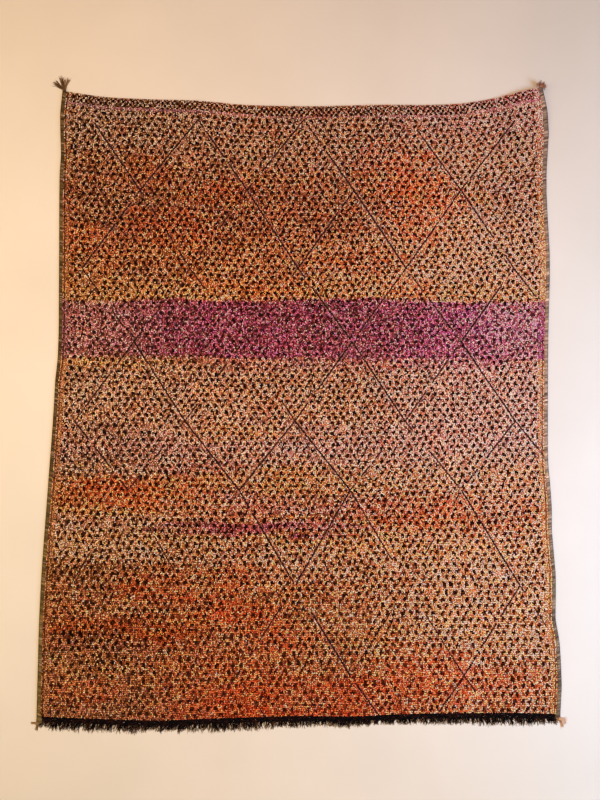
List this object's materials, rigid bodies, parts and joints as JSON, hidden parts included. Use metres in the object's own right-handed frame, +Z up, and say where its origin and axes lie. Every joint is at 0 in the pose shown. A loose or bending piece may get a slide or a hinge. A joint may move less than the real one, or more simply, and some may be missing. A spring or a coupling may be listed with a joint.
{
  "type": "beni mguild rug",
  "caption": "Hand-knotted wool rug lying flat with its knotted back up, bound along both sides, with a dark fringe at one end and a tassel at each corner.",
  "frame": {"origin": "on the flat underside under the middle of the rug", "axes": "+X across the width, +Y along the length away from the fringed end, +Z up, out of the knotted back"},
  "size_m": [2.1514, 2.7432, 0.035],
  "materials": {
    "field_wool": "knotted wool in mottled orange, ochre, rust and purple with dark flecks",
    "selvedge_wool": "overcast goat hair and wool, olive brown to taupe",
    "fringe_wool": "dark goat hair locks",
    "tassel_wool": "loose tan and brown wool strands"
  },
  "bodies": {
    "root": {"rug_field": "field_wool", "selvedge_left": "selvedge_wool", "selvedge_right": "selvedge_wool", "end_fringe": "fringe_wool", "tassel_top_left": "tassel_wool", "tassel_top_right": "tassel_wool", "tassel_bottom_left": "tassel_wool", "tassel_bottom_right": "tassel_wool"}
  },
  "joints": []
}
